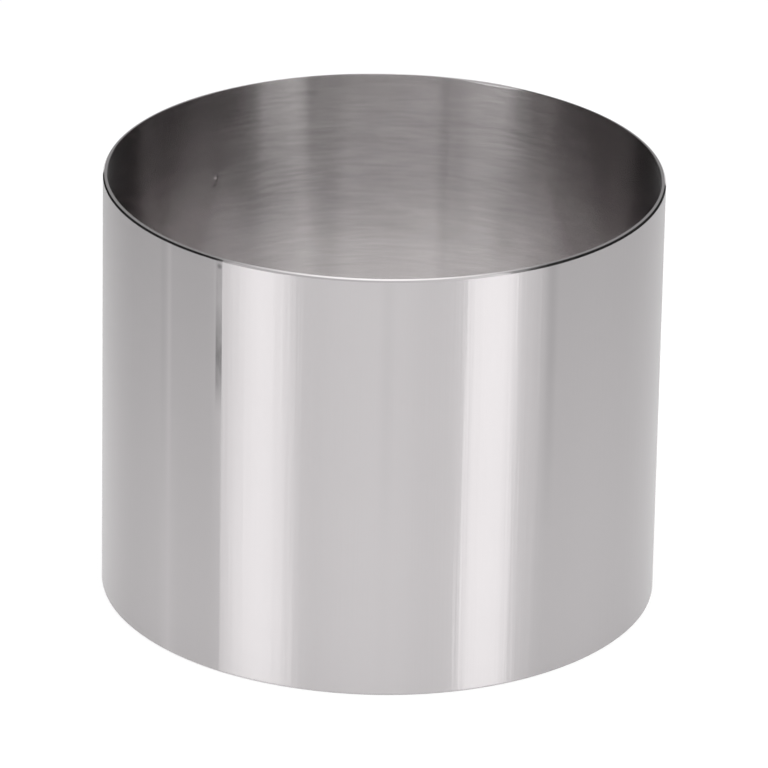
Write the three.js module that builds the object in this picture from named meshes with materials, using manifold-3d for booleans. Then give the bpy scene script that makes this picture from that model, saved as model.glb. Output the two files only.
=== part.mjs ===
// Pastry ring, open at both ends: one strip of thin stainless steel rolled into a circle, and the butt weld that
// closes it. The weld is dressed flush with the wall, inside and outside, and with both rims.
// Units are millimetres and +Z is up. The origin is on the ring's axis, in the plane that the ring stands on.
// The weld lies on the -Y side.

import * as THREE from "three";
import { mergeVertices } from "three/addons/utils/BufferGeometryUtils.js";
import Module from "manifold-3d";

// Driving dimensions
const INNER_DIAMETER = 75; // the size that such a ring goes by
const HEIGHT = 60;
const WALL = 0.6; // thickness of the strip
const OUTER_EDGE_RADIUS = 0.25; // both rims are polished round on the outside
const INNER_EDGE_RADIUS = 0.1; // and only deburred on the inside
const WELD_WIDTH = 1.4;

// A rounding takes at most this share of the wall, so that a flat land is left on each rim
const OUTER_EDGE_LIMIT = 0.6;
const INNER_EDGE_LIMIT = 0.3;

// Fineness of the round shapes
const RING_SEGMENTS = 144;
const EDGE_DIVISIONS = 1;

// How far the cutting block for the weld reaches past the strip on each side
const CUT_OVERSHOOT = 1;

const INNER_RADIUS = INNER_DIAMETER / 2;
const OUTER_RADIUS = INNER_RADIUS + WALL;

const wasm = await Module();
wasm.setup();

// The strip's section beside the axis, as radius and height: counter-clockwise, and closed on itself.
function stripSection() {
  const outerEdge = Math.min(OUTER_EDGE_RADIUS, WALL * OUTER_EDGE_LIMIT);
  const innerEdge = Math.min(INNER_EDGE_RADIUS, WALL * INNER_EDGE_LIMIT);
  const outerCentre = OUTER_RADIUS - outerEdge;
  const innerCentre = INNER_RADIUS + innerEdge;
  const section = new THREE.Path();
  section.absarc(outerCentre, outerEdge, outerEdge, -Math.PI / 2, 0);
  section.absarc(outerCentre, HEIGHT - outerEdge, outerEdge, 0, Math.PI / 2);
  section.absarc(innerCentre, HEIGHT - innerEdge, innerEdge, Math.PI / 2, Math.PI);
  section.absarc(innerCentre, innerEdge, innerEdge, Math.PI, 1.5 * Math.PI);
  section.closePath();
  return section.getPoints(EDGE_DIVISIONS);
}

// The whole ring with no joint in it. A lathe turns about +Y, so the result is stood up along +Z.
function closedRing() {
  return new THREE.LatheGeometry(stripSection(), RING_SEGMENTS).rotateX(Math.PI / 2);
}

// The block of space between the strip's two ends, which face each other square across the weld.
function weldSpace() {
  const reach = OUTER_RADIUS + CUT_OVERSHOOT;
  const tall = HEIGHT + 2 * CUT_OVERSHOOT;
  return new THREE.BoxGeometry(WELD_WIDTH, reach, tall).translate(0, -reach / 2, HEIGHT / 2);
}

function toSolid(geometry) {
  const bare = geometry.clone();
  bare.deleteAttribute("normal");
  bare.deleteAttribute("uv");
  const merged = mergeVertices(bare);
  const vertProperties = new Float32Array(merged.attributes.position.array);
  const triVerts = new Uint32Array(merged.index.array);
  return new wasm.Manifold(new wasm.Mesh({ numProp: 3, vertProperties, triVerts }));
}

function toGeometry(solid) {
  const { vertProperties, triVerts } = solid.getMesh();
  const geometry = new THREE.BufferGeometry();
  geometry.setAttribute("position", new THREE.BufferAttribute(vertProperties, 3));
  geometry.setIndex(new THREE.BufferAttribute(triVerts, 1));
  geometry.computeVertexNormals();
  return geometry;
}

function namedMesh(name, geometry, material) {
  const mesh = new THREE.Mesh(geometry, material);
  mesh.name = name;
  return mesh;
}

const polishedSteel = new THREE.MeshStandardMaterial({ color: 0xc6c3c4, roughness: 0.25, metalness: 1 });
const dressedWeld = new THREE.MeshStandardMaterial({ color: 0xb2afb0, roughness: 0.35, metalness: 1 });

const ring = toSolid(closedRing());
const joint = toSolid(weldSpace());

const pastryRing = new THREE.Group();
pastryRing.name = "pastry_ring";
pastryRing.add(namedMesh("ring_band", toGeometry(ring.subtract(joint)), polishedSteel));
pastryRing.add(namedMesh("weld_seam", toGeometry(ring.intersect(joint)), dressedWeld));

export default pastryRing;
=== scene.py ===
"""Looks of the pastry ring: a thin ring of polished steel, closed by one dressed weld, on a pale floor."""

import math

import bpy
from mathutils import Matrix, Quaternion, Vector, noise


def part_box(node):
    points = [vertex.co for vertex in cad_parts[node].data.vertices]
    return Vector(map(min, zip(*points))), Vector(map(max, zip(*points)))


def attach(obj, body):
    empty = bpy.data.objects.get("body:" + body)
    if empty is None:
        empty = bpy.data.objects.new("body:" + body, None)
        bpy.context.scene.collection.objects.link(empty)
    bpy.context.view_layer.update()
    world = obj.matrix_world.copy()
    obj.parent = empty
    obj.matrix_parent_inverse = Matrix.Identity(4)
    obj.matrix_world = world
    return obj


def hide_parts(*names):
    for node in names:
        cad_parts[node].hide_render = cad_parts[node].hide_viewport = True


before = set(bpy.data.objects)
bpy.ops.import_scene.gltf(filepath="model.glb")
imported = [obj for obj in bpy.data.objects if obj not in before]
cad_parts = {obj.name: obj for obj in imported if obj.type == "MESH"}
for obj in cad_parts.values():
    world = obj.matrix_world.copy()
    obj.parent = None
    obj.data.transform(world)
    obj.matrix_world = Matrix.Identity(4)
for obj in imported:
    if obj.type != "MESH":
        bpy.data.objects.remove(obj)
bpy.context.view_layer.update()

# Sizes in metres, from the frame where it has them
MM = 0.001
_, band_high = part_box("ring_band")
weld_low, weld_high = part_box("weld_seam")
OUTER_RADIUS = band_high.x
HEIGHT = band_high.z
WELD_WIDTH = weld_high.x - weld_low.x
WALL = 0.6 * MM
MID_RADIUS = OUTER_RADIUS - WALL / 2
GIRTH = math.tau * MID_RADIUS

# The upper rim is buffed on the outside into a bevel of about this width and height, and its land falls away
# outwards. The wall's even rows of points end below the room that the bevel takes
BUFF_INSET = 0.17 * MM
BUFF_DROP = 0.2 * MM
BUFF_ROOM = 0.48 * MM
LAND_SLOPE = math.tan(math.radians(14))

# The bevel is uneven round the ring, as a noise is along a circle: share of the change, radius and place
BUFF_WOBBLE = 0.4
BUFF_WAVES = 1.5
BUFF_SEED = 45.14

# One stretch of the upper rim is buffed on the inside too: distance from the weld, reach, size and room
INNER_BUFF_PLACE = 126.5 * MM
INNER_BUFF_REACH = 5 * MM
INNER_BUFF_INSET = 0.15 * MM
INNER_BUFF_DROP = 0.25 * MM
INNER_BUFF_ROOM = 0.48 * MM

# The lower rim is only rounded, and both rims are deburred on the inside. Edges of power 1 are round, and
# those of power 2 are flat bevels
BASE_ROUNDING = 0.2 * MM
DEBURR = 0.05 * MM
EDGE_POWER = 1.95

# The strip's ends can't be rolled fully round, so the wall stands out a little along one side of the weld
PEAK = 0.08 * MM
PEAK_REACH = 5 * MM
PEAK_PLACE = WELD_WIDTH / 2

# The wall is a little flat at the top and full at the base, round a place at this distance from the weld
FLAT_PLACE = 27 * MM
FLAT_REACH = 25 * MM
FLAT_DEPTH = 0.12 * MM

# Zones of the strip's surface, each with its own finish, and the zones of the faces round each edge
ZONES = ("outside", "rim", "inside")
BUFF_ZONES = ["outside"] + ["rim"] * 11
INNER_BUFF_ZONES = ["rim"] * 6
DEBURR_ZONES = ["inside"] * 4
BASE_ZONES = ["rim"] * 3 + ["outside"] * 3

# Fineness of the meshes. Points at a guard's distance from an edge keep its bend out of the wall's shading
BAND_STEPS = 540
BAND_ROWS = 36
WELD_STEPS = 12
WELD_ROWS = 60
CARD_STEPS = 24
GUARD = 0.12 * MM
RIM_GUARD = 0.03 * MM

# Colours of the steel, and white
STEEL = (0.707, 0.681, 0.688)
SATIN_STEEL = (0.612, 0.585, 0.586)
WHITE = (1, 1, 1, 1)

# Most values of a noise lie in this range. The roughness is that of the noise's own finer parts
NOISE_RANGE = (0.3, 0.7)
NOISE_ROUGHNESS = 0.6

# A brushed surface has a soft and a sharper mirror: the sharper one's share outside and inside, its
# roughness, how far it is drawn out, and how fast it whitens to the sides
OUTSIDE_SHARPNESS = 0.7
INSIDE_SHARPNESS = 0.8
SHARP_ROUGHNESS = 0.2635
SHARP_ANISOTROPY = 0.797
GRAZING_POWER = 5.0

# Outside: change of shade by clouds, and painted shade that darkens it from base to top, the most that a
# shade can change, and roughness
OUTSIDE_CLOUDS = 0.01
OUTSIDE_PAINTED_SHADE_TOP = -0.03
OUTSIDE_REACH = 0.15
OUTSIDE_ROUGHNESS = (0.325, 0.34)

# Rims: range of shade and roughness
RIM_SHADES = (0.95, 1.02)
RIM_ROUGHNESS = (0.08, 0.14)

# Inside: change of shade by clouds and by brushing, the brightest shade that is kept, and roughness
INSIDE_CLOUDS = 0.03
INSIDE_BRUSHING = 0.04
INSIDE_BRIGHTEST = 3
INSIDE_ROUGHNESS = (0.19, 0.21)

# Painted shade inside: the colour is darker towards the top: heights where it starts and stops to fade, and
# its shade at the top. The bright low part is lifted higher, as painted light, away from one place along the
# strip, where the far wall's inside faces the camera, between these distances from it
PAINTED_SHADE_FADE = (31 * MM, 45 * MM)
PAINTED_SHADE_TOP = 0.72
PAINTED_SHADE_MIDDLE = 141.5 * MM
PAINTED_SHADE_SIDES = (17 * MM, 27 * MM)
PAINTED_LIGHT_LIFT = 9 * MM

# A small dent inside, painted as a highlight and dark spots of shade: distance from the weld, height, radius,
# change of shade
DENT_PAINTED_HIGHLIGHT_AND_SHADE = (
    (167.25 * MM, 47.2 * MM, 0.45 * MM, 0.85),
    (166.95 * MM, 47.35 * MM, 0.42 * MM, -0.47),
    (167.05 * MM, 46.75 * MM, 0.42 * MM, -0.42),
    (167.35 * MM, 46.15 * MM, 0.45 * MM, -0.4),
)

# Weld: the heights where its stain sets in and then fades, the share that is left at the top, the distances
# across the weld where it starts, how patchy it is, its shade, and the metal's roughness
STAIN_RISE = (37 * MM, 46 * MM)
STAIN_FALL = (46 * MM, 54 * MM)
STAIN_TOP = 0.3
STAIN_SIDE = (-0.45 * MM, -0.15 * MM)
STAIN_PATCHES = (0.35, 0.6, 0.7, 1)
STAIN_SHADE = 0.46
WELD_ROUGHNESS = 0.333

# A dark spot on the weld under the upper rim: distance from the weld, height, radius
WELD_SPOT = (0.25 * MM, 58.95 * MM, 0.75 * MM)

# Lines and bands up the wall, partly lines that the bending rolls left and partly painted shade, with a
# painted
# highlight along a crease: distance along the strip from the weld, width, and change of shade low down and at
# the top.
# A fade holds the heights between which one turns into the other
OUTER_LINES_AND_PAINTED_SHADE = (
    (GIRTH - 18.0 * MM, 20.0 * MM, -0.08, -0.07),
    (GIRTH - 10.0 * MM, 1.7 * MM, 0, -0.05),
    (GIRTH - 8.7 * MM, 1.5 * MM, 0.02, 0.1),
    (GIRTH - 8.9 * MM, 5.0 * MM, 0.05, 0),
    (3.0 * MM, 9.0 * MM, 0, -0.05),
    (23.6 * MM, 2.8 * MM, -0.01, -0.04),
    (46.6 * MM, 2.6 * MM, 0, -0.1),
    (64.0 * MM, 24.0 * MM, -0.06, -0.05),
)
# Inside, the lines and bands are a few lines that rolls left and mostly painted shade and painted light
INNER_LINES_AND_PAINTED_SHADE = (
    (174.0 * MM, 30.0 * MM, 0.1, -0.2),
    (165.5 * MM, 12.0 * MM, -0.12, -0.2),
    (159.8 * MM, 14.0 * MM, -0.13, -0.14),
    (152.6 * MM, 5.0 * MM, 0.07, -0.12),
    (149.2 * MM, 5.0 * MM, -0.05, -0.03),
    (146.5 * MM, 6.0 * MM, 0.05, 0.05),
    (133.1 * MM, 2.8 * MM, -0.09, -0.11),
    (133.3 * MM, 16.0 * MM, 0.15, 0.15),
    (127.0 * MM, 8.0 * MM, 0.08, -0.03),
    (121.0 * MM, 8.0 * MM, 0.02, -0.22),
    (118.5 * MM, 8.0 * MM, 0, 0.06),
    (113.0 * MM, 14.0 * MM, -0.08, -0.16),
)
OUTER_FADE = (20 * MM, 45 * MM)
INNER_FADE = (40 * MM, 58 * MM)

# Camera, fitted to the photograph's outline of the rim and base: angles in degrees, lengths in metres
LENS_MM = 355.97
CAMERA_AZIMUTH = 34.55
CAMERA_ELEVATION = 23.221
CAMERA_ROLL = 1.07
CAMERA_DISTANCE = 1.0393
AIM_RIGHT = 0.448 * MM
AIM_DOWN = 0.969 * MM
CLIP_START = 0.01

# Share of the floor's look that is plain white. Beside the ring it leaves a trace of the ring's shadow, and
# farther off it is full. The floor that the ring mirrors has its own share, and a lower strength
FLOOR_SIZE = 8.0
FLOOR_SHADE = 0.9
FLOOR_WHITE = 0.85
FLOOR_FADE = (0.12, 0.25)
MIRRORED_WHITE = 0.8
MIRRORED_STRENGTH = 0.86

# Light from all round, and the shade of the dark cards
WORLD_STRENGTH = 0.33
CARD_SHADE = 0.02

# Upright boxes side by side round the front: their azimuths, and the heights and distance of most boxes
LEFT_BOX = (-65.9, -30.6)
RIGHT_BOX = (33.0, 54.4)
FRONT_BOX = (LEFT_BOX[1], RIGHT_BOX[0])
RIGHT_TAIL = (RIGHT_BOX[1], 71.5)
BOX_HEIGHTS = (0.03, 1.4)
BOX_DISTANCE = 2.2

# Shares of a lamp's light at its left, middle and right
EVEN = (1.0, 1.0, 1.0)
ARCHED = (0.0, 1.0, 0.0)

# The inside mirrors itself more times than Blender follows by default
MIRROR_BOUNCES = 8


def eased(value):
    """A sine or cosine with its size drawn in, so that an edge is nearer to a flat bevel than a round is."""
    return math.copysign(abs(value) ** EDGE_POWER, value)


def quarter_turn(offset, height, across, tall, first, zones, slope=0.0):
    """Points round an edge, from a first angle in degrees, with a zone for each face."""
    points = []
    for i, zone in enumerate(zones):
        a = math.radians(first + 90 * i / len(zones))
        aside, above = across * eased(math.cos(a)), tall * eased(math.sin(a))
        points.append((offset + aside, height + above - slope * aside, zone))
    return points


def wall_rows(offset, first, last, rows, zone):
    """Points on a wall, in even rows from the first height to the last."""
    return [(offset, first + (last - first) * i / rows, zone) for i in range(rows + 1)]


def section(rows, buffed, inner_buffed):
    """Points round the strip's section, as (offset from the mid wall, height, zone of the next face).

    The upper rim's two edges are buffed by those shares, outside and inside."""
    outer, inner, base = WALL / 2, -WALL / 2, BASE_ROUNDING
    inset, drop = BUFF_INSET * buffed, BUFF_DROP * buffed
    inner_inset = DEBURR + INNER_BUFF_INSET * inner_buffed
    inner_drop = DEBURR + INNER_BUFF_DROP * inner_buffed
    land_out, land_in = outer - inset, inner + inner_inset
    land_end = HEIGHT - LAND_SLOPE * (land_out - land_in)
    bevel_foot = land_end - drop - LAND_SLOPE * inset
    inner_foot = HEIGHT - inner_drop

    def on_land(offset):
        return (offset, HEIGHT - LAND_SLOPE * (offset - land_in), "rim")

    return [
        (outer, base, "outside"),
        *wall_rows(outer, base + GUARD, HEIGHT - BUFF_ROOM, rows, "outside"),
        (outer, bevel_foot - RIM_GUARD, "outside"),
        *quarter_turn(land_out, land_end - drop, inset, drop, 0, BUFF_ZONES, LAND_SLOPE),
        on_land(land_out),
        on_land(land_out - RIM_GUARD),
        on_land(land_in + RIM_GUARD),
        *quarter_turn(land_in, inner_foot, inner_inset, inner_drop, 90, INNER_BUFF_ZONES),
        (inner, inner_foot, "inside"),
        (inner, inner_foot - RIM_GUARD, "inside"),
        *wall_rows(inner, HEIGHT - INNER_BUFF_ROOM, DEBURR + GUARD, rows, "inside"),
        *quarter_turn(inner + DEBURR, DEBURR, DEBURR, DEBURR, 180, DEBURR_ZONES),
        (inner + DEBURR, 0, "rim"),
        *quarter_turn(outer - base, base, base, base, 270, BASE_ZONES),
    ]


def section_lengths(points):
    """The distance round the section from its first point to each point, and last to the first again."""
    lengths = [0.0]
    for a, b in zip(points, [*points[1:], points[0]]):
        lengths.append(lengths[-1] + math.dist(a[:2], b[:2]))
    return lengths


def buffing(s):
    """How strongly the upper rim is buffed on the outside at a distance s along the strip, about 1."""
    angle = s / MID_RADIUS
    place = Vector((BUFF_WAVES * math.cos(angle), BUFF_WAVES * math.sin(angle), BUFF_SEED))
    return 1 + BUFF_WOBBLE * noise.noise(place)


def inner_buffing(s):
    """How strongly the upper rim is buffed on the inside, from 0 to 1."""
    return math.exp(-((wrapped(s - INNER_BUFF_PLACE) / INNER_BUFF_REACH) ** 2))


def wrapped(s):
    """The distance s along the strip as one from -half the girth to half of it."""
    return (s + GIRTH / 2) % GIRTH - GIRTH / 2


def wall_shift(s, height):
    """How far the mid wall lies outside a true circle."""
    peak = PEAK * math.exp(-abs(wrapped(s - PEAK_PLACE)) / PEAK_REACH)
    aside = (wrapped(s - FLAT_PLACE) / FLAT_REACH) ** 2
    flat = FLAT_DEPTH * (1 - 2 * aside) * math.exp(-aside)
    return peak - flat * (2 * height / HEIGHT - 1)


def on_ring(s, offset, height):
    """The place of a point of the section, at a distance s along the strip from the middle of the weld."""
    angle = s / MID_RADIUS
    radius = MID_RADIUS + offset + wall_shift(s, height)
    return (radius * math.sin(angle), -radius * math.cos(angle), height)


def swept_faces(stations, plain):
    """The swept section's faces, each face's zone, and each corner's lengths along and round the strip."""
    count = len(plain)
    lengths = section_lengths(plain)
    faces, zones, uvs = [], [], []
    for i in range(len(stations) - 1):
        here, there = i * count, (i + 1) * count
        for j, (_, _, zone) in enumerate(plain):
            k = (j + 1) % count
            faces.append((here + j, there + j, there + k, here + k))
            zones.append(ZONES.index(zone))
            for at, v in ((i, j), (i + 1, j), (i + 1, j + 1), (i, j + 1)):
                uvs.append((stations[at], lengths[v]))
    return faces, zones, uvs


def sweep(name, start, end, steps, rows, materials):
    """A closed solid: the strip's section swept along the strip, with flat ends. Its UV map holds lengths."""
    stations = [start + (end - start) * i / steps for i in range(steps + 1)]
    plain = section(rows, 1, 0)
    count = len(plain)
    verts = []
    for s in stations:
        loop = section(rows, buffing(s), inner_buffing(s))
        verts.extend(on_ring(s, offset, height) for offset, height, _ in loop)
    faces, zones, uvs = swept_faces(stations, plain)
    first_end = tuple(range(count))
    last_end = tuple(reversed(range(steps * count, (steps + 1) * count)))
    mesh = bpy.data.meshes.new(name)
    mesh.from_pydata(verts, [], [*faces, first_end, last_end])
    layer = mesh.uv_layers.new(name="strip")
    for i, uv in enumerate(uvs):
        layer.data[i].uv = uv
    for material in materials:
        mesh.materials.append(material)
    for polygon, zone in zip(mesh.polygons, zones):
        polygon.use_smooth = True
        polygon.material_index = zone
    flat_ends(mesh, len(faces))
    return linked(name, mesh)


def flat_ends(mesh, first):
    """Makes the mesh's faces flat from that number on, with sharp edges round them."""
    ends = mesh.polygons[first:]
    for polygon in ends:
        polygon.use_smooth = False
    keys = {key for polygon in ends for key in polygon.edge_keys}
    for edge in mesh.edges:
        edge.use_edge_sharp = edge.key in keys


def linked(name, data):
    """A new object with that data, in the scene."""
    made = bpy.data.objects.new(name, data)
    bpy.context.scene.collection.objects.link(made)
    return made


class Nodes:
    """A short way to add nodes to a tree and link them."""

    def __init__(self, tree):
        self.tree = tree
        tree.nodes.clear()

    def feed(self, socket, value):
        """Links the socket to another one, or sets it to a plain value."""
        if isinstance(value, bpy.types.NodeSocket):
            self.tree.links.new(value, socket)
        else:
            socket.default_value = value

    def add(self, kind, inputs=None, **settings):
        made = self.tree.nodes.new(kind)
        for key, value in settings.items():
            setattr(made, key, value)
        for key, value in (inputs or {}).items():
            self.feed(made.inputs[key], value)
        return made

    def math(self, operation, *values):
        return self.add("ShaderNodeMath", dict(enumerate(values)), operation=operation).outputs[0]

    def mixed(self, factor, first, second):
        """A mix of two colours. A colour mix has its own sockets after those of the node's other kinds."""
        made = self.add("ShaderNodeMix", data_type="RGBA")
        for at, value in ((0, factor), (6, first), (7, second)):
            self.feed(made.inputs[at], value)
        return made.outputs[2]

    def ranged(self, value, low, high, to_low, to_high, how="LINEAR"):
        """The value taken from one range to another, and kept within it."""
        inputs = {"Value": value, "From Min": low, "From Max": high, "To Min": to_low, "To Max": to_high}
        return self.add("ShaderNodeMapRange", inputs, interpolation_type=how).outputs["Result"]


def new_material(name):
    material = bpy.data.materials.new(name)
    material.use_nodes = True
    return material, Nodes(material.node_tree)


def grey(shade):
    return (shade, shade, shade, 1)


def streaks(nodes, length, width, detail=3.0):
    """Noise drawn out along the strip: marks of that length and width, from 0 to 1."""
    strip = nodes.add("ShaderNodeUVMap", uv_map="strip").outputs["UV"]
    scale = (1 / length, 1 / width, 1)
    scaled = nodes.add("ShaderNodeMapping", {"Vector": strip, "Scale": scale}).outputs["Vector"]
    inputs = {"Vector": scaled, "Scale": 1.0, "Detail": detail, "Roughness": NOISE_ROUGHNESS}
    return nodes.add("ShaderNodeTexNoise", inputs, noise_dimensions="2D").outputs["Fac"]


def along(nodes):
    """The distance along the strip from the weld."""
    strip = nodes.add("ShaderNodeUVMap", uv_map="strip").outputs["UV"]
    return nodes.add("ShaderNodeSeparateXYZ", {"Vector": strip}).outputs["X"]


def above_floor(nodes):
    """The height above the floor that the ring stands on."""
    place = nodes.add("ShaderNodeTexCoord").outputs["Object"]
    return nodes.add("ShaderNodeSeparateXYZ", {"Vector": place}).outputs["Z"]


def brushed(nodes, colour, roughness, sharp_share, normal):
    """Steel that mirrors sharply round the ring and blurs up and down it, as a grain along the strip does."""
    tangent = nodes.add("ShaderNodeTangent", direction_type="UV_MAP", uv_map="strip").outputs["Tangent"]
    facing = nodes.add("ShaderNodeLayerWeight").outputs["Facing"]
    grazing = nodes.math("POWER", facing, GRAZING_POWER)
    soft = nodes.add(
        "ShaderNodeBsdfPrincipled",
        {
            "Base Color": colour,
            "Metallic": 1.0,
            "Roughness": roughness,
            "Anisotropic": 1.0,
            "Anisotropic Rotation": 0.25,
            "Normal": normal,
            "Tangent": tangent,
        },
    )
    sharp = nodes.add(
        "ShaderNodeBsdfAnisotropic",
        {
            "Color": nodes.mixed(grazing, colour, WHITE),
            "Roughness": SHARP_ROUGHNESS,
            "Anisotropy": SHARP_ANISOTROPY,
            "Normal": normal,
            "Tangent": tangent,
        },
    )
    shaders = {0: sharp_share, 1: soft.outputs[0], 2: sharp.outputs[0]}
    mix = nodes.add("ShaderNodeMixShader", shaders)
    nodes.add("ShaderNodeOutputMaterial", {"Surface": mix.outputs[0]})


def tinted(nodes, factor, dark, light, steel=STEEL):
    """The steel's colour, from a darker to a lighter shade of it by a factor from 0 to 1."""
    return nodes.mixed(factor, (*(c * dark for c in steel), 1), (*(c * light for c in steel), 1))


def bumped(nodes, value, depth, strength):
    """A normal for marks of that depth, where the value is their height from 0 to 1."""
    inputs = {"Strength": strength, "Distance": depth, "Height": value}
    return nodes.add("ShaderNodeBump", inputs).outputs["Normal"]


def spot(nodes, place):
    """How near a point is to the middle of a small spot, from 0 at its edge to 1."""
    beside, above, radius = place
    aside = nodes.math("SUBTRACT", along(nodes), beside)
    apart = nodes.math("SUBTRACT", above_floor(nodes), above)
    way = nodes.add("ShaderNodeCombineXYZ", {"X": aside, "Y": apart}).outputs[0]
    distance = nodes.add("ShaderNodeVectorMath", {0: way}, operation="LENGTH").outputs["Value"]
    return nodes.ranged(distance, 0, radius, 1, 0, "SMOOTHSTEP")


def with_lines_and_painted_shade(nodes, shade, lines, fade):
    """The shade with lines and bands up the wall added to it, which change between those heights. They are
    partly lines that rolls left and partly painted shade and painted light.
    """
    for place, width, low_change, top_change in lines:
        aside = nodes.math("ABSOLUTE", nodes.math("SUBTRACT", along(nodes), place))
        line = nodes.ranged(aside, 0, width / 2, 1, 0, "SMOOTHSTEP")
        change = nodes.ranged(above_floor(nodes), *fade, low_change, top_change)
        shade = nodes.math("MULTIPLY_ADD", line, change, shade)
    return shade


def outside_steel():
    material, nodes = new_material("polished_outside")
    cloudy = streaks(nodes, length=30 * MM, width=25 * MM)
    lines = streaks(nodes, length=0.8 * MM, width=60 * MM, detail=2.0)
    shade = nodes.ranged(cloudy, *NOISE_RANGE, -OUTSIDE_CLOUDS, OUTSIDE_CLOUDS)
    # Painted shade: darker from base to top
    shade = nodes.math("ADD", shade, nodes.ranged(above_floor(nodes), 0, HEIGHT, 0, OUTSIDE_PAINTED_SHADE_TOP))
    # Lines the rolls left, with painted shade and a painted highlight along a crease, up the outside
    shade = with_lines_and_painted_shade(nodes, shade, OUTER_LINES_AND_PAINTED_SHADE, OUTER_FADE)
    factor = nodes.ranged(shade, -OUTSIDE_REACH, OUTSIDE_REACH, 0, 1)
    colour = tinted(nodes, factor, 1 - OUTSIDE_REACH, 1 + OUTSIDE_REACH)
    normal = bumped(nodes, lines, depth=0.012 * MM, strength=1.0)
    roughness = nodes.ranged(cloudy, *NOISE_RANGE, *OUTSIDE_ROUGHNESS)
    brushed(nodes, colour, roughness, OUTSIDE_SHARPNESS, normal)
    return material


def rim_steel():
    material, nodes = new_material("buffed_rim")
    cloudy = streaks(nodes, length=3 * MM, width=0.3 * MM)
    scratches = streaks(nodes, length=1.2 * MM, width=0.08 * MM)
    shader = nodes.add(
        "ShaderNodeBsdfPrincipled",
        {
            "Base Color": tinted(nodes, cloudy, *RIM_SHADES),
            "Metallic": 1.0,
            "Roughness": nodes.ranged(cloudy, *NOISE_RANGE, *RIM_ROUGHNESS),
            "Normal": bumped(nodes, scratches, depth=0.004 * MM, strength=0.5),
        },
    )
    nodes.add("ShaderNodeOutputMaterial", {"Surface": shader.outputs[0]})
    return material


def inside_steel():
    material, nodes = new_material("satin_inside")
    brush = streaks(nodes, length=6 * MM, width=0.5 * MM, detail=1.5)
    cloudy = streaks(nodes, length=25 * MM, width=4 * MM)
    # Painted shade, darker towards the top, and painted light that reaches higher away from the far wall's
    # middle
    aside = nodes.math("ABSOLUTE", nodes.math("SUBTRACT", along(nodes), PAINTED_SHADE_MIDDLE))
    lift = nodes.ranged(aside, *PAINTED_SHADE_SIDES, 0, PAINTED_LIGHT_LIFT, "SMOOTHSTEP")
    level = nodes.math("SUBTRACT", above_floor(nodes), lift)
    shade = nodes.ranged(level, *PAINTED_SHADE_FADE, 1, PAINTED_SHADE_TOP, "SMOOTHSTEP")
    for marks, change in ((cloudy, INSIDE_CLOUDS), (brush, INSIDE_BRUSHING)):
        shade = nodes.math("ADD", shade, nodes.ranged(marks, *NOISE_RANGE, -change, change))
    # Painted shade and painted light in lines and bands up the inside
    shade = with_lines_and_painted_shade(nodes, shade, INNER_LINES_AND_PAINTED_SHADE, INNER_FADE)
    # Painted highlight and painted shade of the dent
    for *place, change in DENT_PAINTED_HIGHLIGHT_AND_SHADE:
        shade = nodes.math("MULTIPLY_ADD", spot(nodes, place), change, shade)
    factor = nodes.ranged(shade, 0, INSIDE_BRIGHTEST, 0, 1)
    colour = tinted(nodes, factor, 0, INSIDE_BRIGHTEST, SATIN_STEEL)
    normal = bumped(nodes, brush, depth=0.012 * MM, strength=0.5)
    roughness = nodes.ranged(brush, *NOISE_RANGE, *INSIDE_ROUGHNESS)
    brushed(nodes, colour, roughness, INSIDE_SHARPNESS, normal)
    return material


def weld_steel():
    material, nodes = new_material("ground_weld")
    patches = streaks(nodes, length=1.2 * MM, width=5 * MM)
    scratches = streaks(nodes, length=0.15 * MM, width=2 * MM)
    lower = nodes.ranged(above_floor(nodes), *STAIN_RISE, 0, 1, "SMOOTHSTEP")
    upper = nodes.ranged(above_floor(nodes), *STAIN_FALL, 1, STAIN_TOP)
    beside = nodes.ranged(along(nodes), *STAIN_SIDE, 0, 1, "SMOOTHSTEP")
    tinge = nodes.math("MULTIPLY", nodes.math("MULTIPLY", lower, upper), beside)
    uneven = nodes.ranged(patches, *STAIN_PATCHES)
    stain = nodes.math("MAXIMUM", nodes.math("MULTIPLY", tinge, uneven), spot(nodes, WELD_SPOT))
    colour = tinted(nodes, nodes.math("SUBTRACT", 1.0, stain), STAIN_SHADE, 1.0)
    normal = bumped(nodes, scratches, depth=0.006 * MM, strength=0.3)
    brushed(nodes, colour, WELD_ROUGHNESS, OUTSIDE_SHARPNESS, normal)
    return material


def floor_material():
    """A pale floor, mostly white to the camera. The ring mirrors it so too, but not inside itself."""
    material, nodes = new_material("pale_floor")
    place = nodes.add("ShaderNodeTexCoord").outputs["Object"]
    away = nodes.add("ShaderNodeVectorMath", {0: place}, operation="LENGTH").outputs["Value"]
    around = nodes.math("GREATER_THAN", away, OUTER_RADIUS)
    rays = nodes.add("ShaderNodeLightPath").outputs
    mirrored = nodes.math("MAXIMUM", rays["Is Glossy Ray"], rays["Is Transmission Ray"])
    mirrored = nodes.math("MULTIPLY", mirrored, nodes.math("MULTIPLY", around, MIRRORED_WHITE))
    whiteness = nodes.ranged(away, *FLOOR_FADE, FLOOR_WHITE, 1)
    seen = nodes.math("MULTIPLY", rays["Is Camera Ray"], whiteness)
    share = nodes.math("MAXIMUM", seen, mirrored)
    strength = nodes.ranged(rays["Is Camera Ray"], 0, 1, MIRRORED_STRENGTH, 1)
    diffuse = nodes.add("ShaderNodeBsdfDiffuse", {"Color": grey(FLOOR_SHADE)})
    white = nodes.add("ShaderNodeEmission", {"Color": WHITE, "Strength": strength})
    mix = nodes.add("ShaderNodeMixShader", {0: share, 1: diffuse.outputs[0], 2: white.outputs[0]})
    nodes.add("ShaderNodeOutputMaterial", {"Surface": mix.outputs[0]})
    return material


def make_floor():
    bpy.ops.mesh.primitive_plane_add(size=FLOOR_SIZE)
    floor = bpy.context.object
    floor.name = "floor"
    floor.data.materials.append(floor_material())


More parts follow.
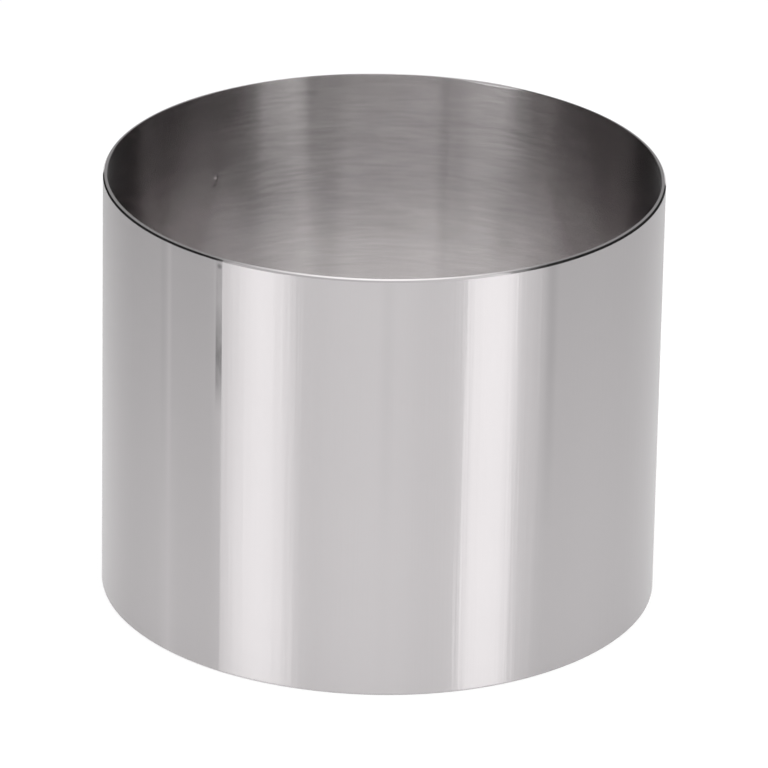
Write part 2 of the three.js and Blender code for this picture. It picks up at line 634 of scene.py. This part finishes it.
def toward(azimuth, elevation):
    """A direction from the ring. Azimuth is counted from the camera's side, to the right in the picture."""
    a, e = math.radians(CAMERA_AZIMUTH + azimuth), math.radians(elevation)
    return Vector((math.sin(a) * math.cos(e), -math.cos(a) * math.cos(e), math.sin(e)))


def glow_across(tree, shares):
    """Lights a lamp by a smooth curve through its shares at the left, middle and right."""
    nodes = Nodes(tree)
    place = nodes.add("ShaderNodeNewGeometry").outputs["Parametric"]
    across = nodes.add("ShaderNodeSeparateXYZ", {"Vector": place}).outputs["X"]
    first, middle, last = shares
    bend = 2 * (first - 2 * middle + last)
    slope = last - first - bend
    strength = nodes.math("MULTIPLY_ADD", nodes.math("MULTIPLY_ADD", across, bend, slope), across, first)
    glow = nodes.add("ShaderNodeEmission", {"Strength": strength})
    nodes.add("ShaderNodeOutputLight", {"Surface": glow.outputs[0]})


def area_lamp(name, size, place, away, radiance, shares):
    """A lamp that faces the ring and that the camera doesn't see."""
    data = bpy.data.lights.new(name, "AREA")
    data.shape = "RECTANGLE"
    data.size, data.size_y = size
    data.energy = radiance * math.pi * data.size * data.size_y
    data.use_nodes = True
    glow_across(data.node_tree, shares)
    lamp = linked(name, data)
    lamp.location = place
    lamp.rotation_euler = (-away).to_track_quat("-Z", "Y").to_euler()
    lamp.visible_camera = False
    return lamp


def softbox(name, azimuths, radiance, shares=EVEN, heights=BOX_HEIGHTS, distance=BOX_DISTANCE):
    """An upright lamp that covers those azimuths as the ring sees it."""
    left, right = azimuths
    low, high = heights
    width = 2 * distance * math.tan(math.radians(right - left) / 2)
    away = toward((left + right) / 2, 0)
    place = away * distance + Vector((0, 0, (low + high) / 2))
    area_lamp(name, (width, high - low), place, away, radiance, shares)


def panel(name, elevation, size, distance, radiance, shares=EVEN, mirrored=True):
    """A lamp overhead, which the ring may mirror or not. An elevation over 90 degrees is behind."""
    away = toward(0, elevation)
    lamp = area_lamp(name, size, away * distance, away, radiance, shares)
    lamp.visible_glossy = mirrored


def dark_card(name, azimuths, tall, distance, lean=0.0):
    """A curved dark card that the ring mirrors. The top of its first edge leans over by an angle."""
    first, last = azimuths
    verts = []
    for i in range(CARD_STEPS + 1):
        part = i / CARD_STEPS
        azimuth = first + (last - first) * part
        verts.append(toward(azimuth, 0) * distance)
        verts.append(toward(azimuth + lean * (1 - part), 0) * distance + Vector((0, 0, tall)))
    faces = [(2 * i, 2 * i + 2, 2 * i + 3, 2 * i + 1) for i in range(CARD_STEPS)]
    mesh = bpy.data.meshes.new(name)
    mesh.from_pydata(verts, [], faces)
    material, nodes = new_material(name)
    dark = nodes.add("ShaderNodeBsdfDiffuse", {"Color": grey(CARD_SHADE)})
    nodes.add("ShaderNodeOutputMaterial", {"Surface": dark.outputs[0]})
    mesh.materials.append(material)
    card = linked(name, mesh)
    card.visible_camera = False


def make_lights():
    """Boxes that the wall mirrors as bands, lamps for the rim and the floor, and cards at the sides."""
    softbox("left_box", LEFT_BOX, radiance=2.42, shares=ARCHED)
    softbox("right_box", RIGHT_BOX, radiance=2.42, shares=(0.85, 1.0, 0.85))
    softbox("right_tail", RIGHT_TAIL, radiance=0.38, shares=(1.0, 0.45, 0.0))
    softbox("front_box", FRONT_BOX, radiance=0.225, distance=2.3)
    softbox("front_card", azimuths=(-22, 14), radiance=0.18, shares=(0.4, 1.0, 0.4), distance=2.4)
    panel("top_box", elevation=104, size=(0.46, 1.6), distance=1.1, radiance=1.12, shares=ARCHED)
    panel("floor_box", elevation=90, size=(1.3, 1.3), distance=1.1, radiance=4.5, mirrored=False)
    softbox("rim_box", azimuths=(-70, 58), radiance=0.33, shares=(1.0, 1.0, 2.2), heights=(1.6, 4.8))
    dark_card("left_card", azimuths=(-62, -152), tall=0.5, distance=0.33, lean=-17)
    dark_card("right_card", azimuths=(63, 152), tall=0.37, distance=0.42)


def make_world():
    world = bpy.data.worlds.new("studio")
    bpy.context.scene.world = world
    world.use_nodes = True
    nodes = Nodes(world.node_tree)
    back = nodes.add("ShaderNodeBackground", {"Color": WHITE, "Strength": WORLD_STRENGTH})
    nodes.add("ShaderNodeOutputWorld", {"Surface": back.outputs[0]})


def make_camera():
    data = bpy.data.cameras.new("camera")
    data.lens = LENS_MM
    data.clip_start = CLIP_START
    camera = linked("camera", data)
    back = toward(0, CAMERA_ELEVATION)
    right = toward(90, 0)
    up = right.cross(-back)
    middle = Vector((0, 0, HEIGHT / 2))
    aim = middle + right * AIM_RIGHT - up * AIM_DOWN
    camera.location = middle + back * CAMERA_DISTANCE
    look = (aim - camera.location).to_track_quat("-Z", "Y")
    camera.rotation_mode = "QUATERNION"
    camera.rotation_quaternion = look @ Quaternion((0, 0, 1), math.radians(CAMERA_ROLL))
    bpy.context.scene.camera = camera


make_camera()

outside, rim, inside, ground = outside_steel(), rim_steel(), inside_steel(), weld_steel()

half_weld = WELD_WIDTH / 2
band = sweep("polished_band", half_weld, GIRTH - half_weld, BAND_STEPS, BAND_ROWS, (outside, rim, inside))
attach(band, "root")
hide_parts("ring_band")

weld = sweep("dressed_weld", -half_weld, half_weld, WELD_STEPS, WELD_ROWS, (ground, rim, ground))
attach(weld, "root")
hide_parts("weld_seam")

make_floor()
make_world()
make_lights()

bpy.context.scene.view_settings.view_transform = "Standard"
bpy.context.scene.cycles.glossy_bounces = MIRROR_BOUNCES
